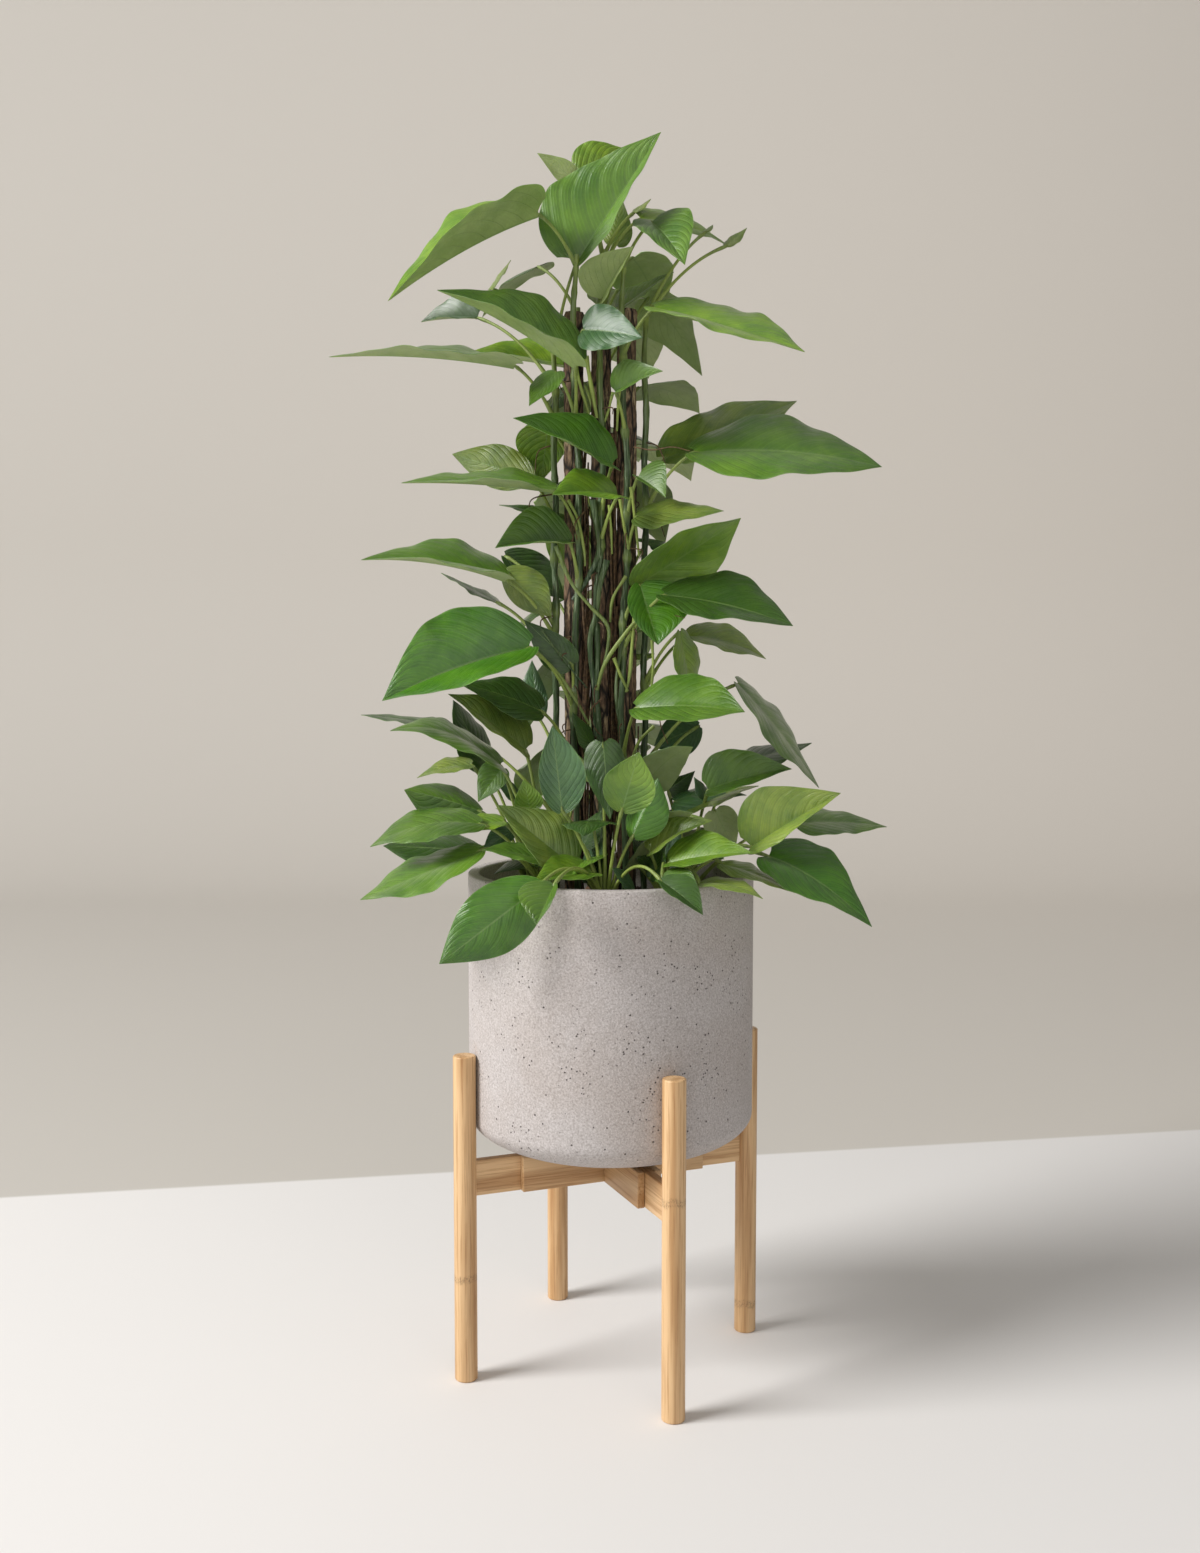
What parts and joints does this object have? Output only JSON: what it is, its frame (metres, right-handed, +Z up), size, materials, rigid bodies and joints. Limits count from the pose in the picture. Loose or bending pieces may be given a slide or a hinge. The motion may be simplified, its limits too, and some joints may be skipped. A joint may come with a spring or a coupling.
{
  "type": "potted jade pothos",
  "caption": "Climbing pothos with glossy heart-shaped leaves on bark-covered stakes, in a round concrete planter on a bamboo stand with sliding legs.",
  "frame": {"origin": "on the floor, midway between the legs' feet, below the middle of the planter", "axes": "+Z up; -Y towards the side the picture shows; +X to its right"},
  "size_m": [0.5899, 0.4007, 1.3058],
  "materials": {
    "bamboo": "satin",
    "bamboo_edge": "satin",
    "concrete": "matte",
    "potting_soil": "matte",
    "bark": "matte",
    "foliage": "satin",
    "young_foliage": "satin"
  },
  "bodies": {
    "planter_and_plant": {"crossing_block": "bamboo", "planter": "concrete", "plate_deep_left": "bamboo_edge", "plate_deep_right": "bamboo_edge", "plate_wide_back": "bamboo_edge", "plate_wide_front": "bamboo_edge", "shoot_east": "young_foliage", "shoot_north": "young_foliage", "shoot_north_east": "young_foliage", "shoot_north_west": "young_foliage", "shoot_south": "young_foliage", "shoot_south_east": "young_foliage", "shoot_south_west": "young_foliage", "shoot_west": "young_foliage", "soil": "potting_soil", "stake_left": "bark", "stake_middle": "bark", "stake_right": "bark", "vine_back": "foliage", "vine_back_left": "foliage", "vine_back_right": "foliage", "vine_front": "foliage", "vine_front_left": "foliage", "vine_front_right": "foliage", "vine_left": "foliage", "vine_right": "foliage"},
    "side_front_right": {"leg_front_right": "bamboo", "arm_front_right": "bamboo"},
    "side_back_right": {"leg_back_right": "bamboo", "arm_back_right": "bamboo"},
    "side_back_left": {"leg_back_left": "bamboo", "arm_back_left": "bamboo"},
    "side_front_left": {"leg_front_left": "bamboo", "arm_front_left": "bamboo"}
  },
  "joints": [
    {"name": "slide_front_right", "type": "slide", "parent": "planter_and_plant", "child": "side_front_right", "axis": [0.3746, -0.9272, 0], "range_m": [0, 0.02]},
    {"name": "slide_back_right", "type": "slide", "parent": "planter_and_plant", "child": "side_back_right", "axis": [0.9272, 0.3746, 0], "range_m": [0, 0.02]},
    {"name": "slide_back_left", "type": "slide", "parent": "planter_and_plant", "child": "side_back_left", "axis": [-0.3746, 0.9272, 0], "range_m": [0, 0.02]},
    {"name": "slide_front_left", "type": "slide", "parent": "planter_and_plant", "child": "side_front_left", "axis": [-0.9272, -0.3746, 0], "range_m": [0, 0.02]}
  ]
}
